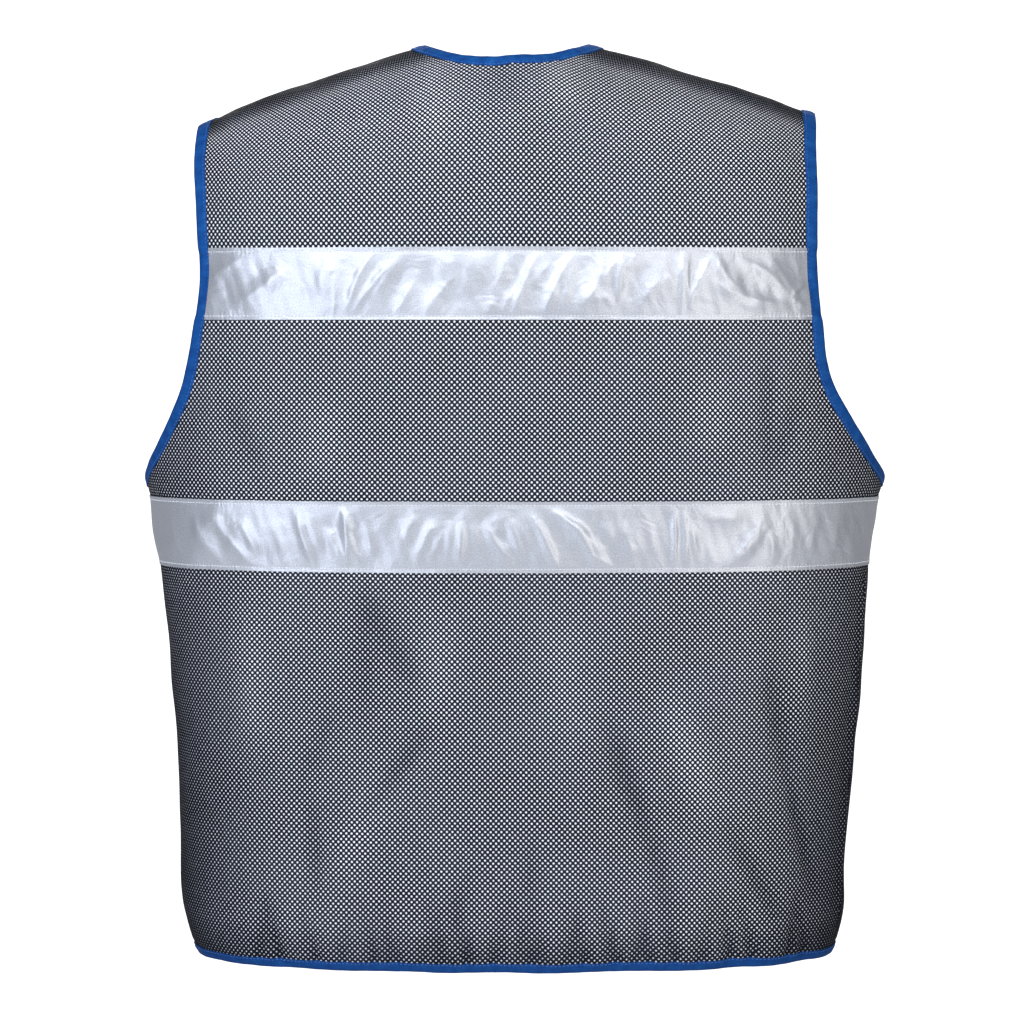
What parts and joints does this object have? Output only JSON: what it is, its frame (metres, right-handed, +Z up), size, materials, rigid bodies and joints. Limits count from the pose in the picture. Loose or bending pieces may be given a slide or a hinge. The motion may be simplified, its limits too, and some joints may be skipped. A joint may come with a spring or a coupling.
{
  "type": "cooling vest",
  "caption": "Sleeveless V-neck work vest of padded open-knit panels with reflective tape round chest and waist, bound edges and a front zip.",
  "frame": {"origin": "shoulder seat: between the two shoulders, at the height of the neck end of the shoulder line, on the line of the shoulder tops", "axes": "+X to the wearer's left, +Y to the wearer's back, +Z up along the body"},
  "size_m": [0.5391, 0.2552, 0.66],
  "materials": {
    "knit": "dark open polyester knit over white wadding",
    "reflective_tape": "silver glass-bead reflective tape, satin",
    "binding": "royal-blue bias tape, matt",
    "zip": "black woven tape with nylon coil"
  },
  "bodies": {
    "root": {"back_panel": "knit", "front_panel_left": "knit", "front_panel_right": "knit", "chest_band_back": "reflective_tape", "chest_band_front_left": "reflective_tape", "chest_band_front_right": "reflective_tape", "waist_band_back": "reflective_tape", "waist_band_front_left": "reflective_tape", "waist_band_front_right": "reflective_tape", "neck_binding": "binding", "armhole_binding_left": "binding", "armhole_binding_right": "binding", "hem_binding": "binding", "front_zip": "zip"}
  },
  "joints": []
}
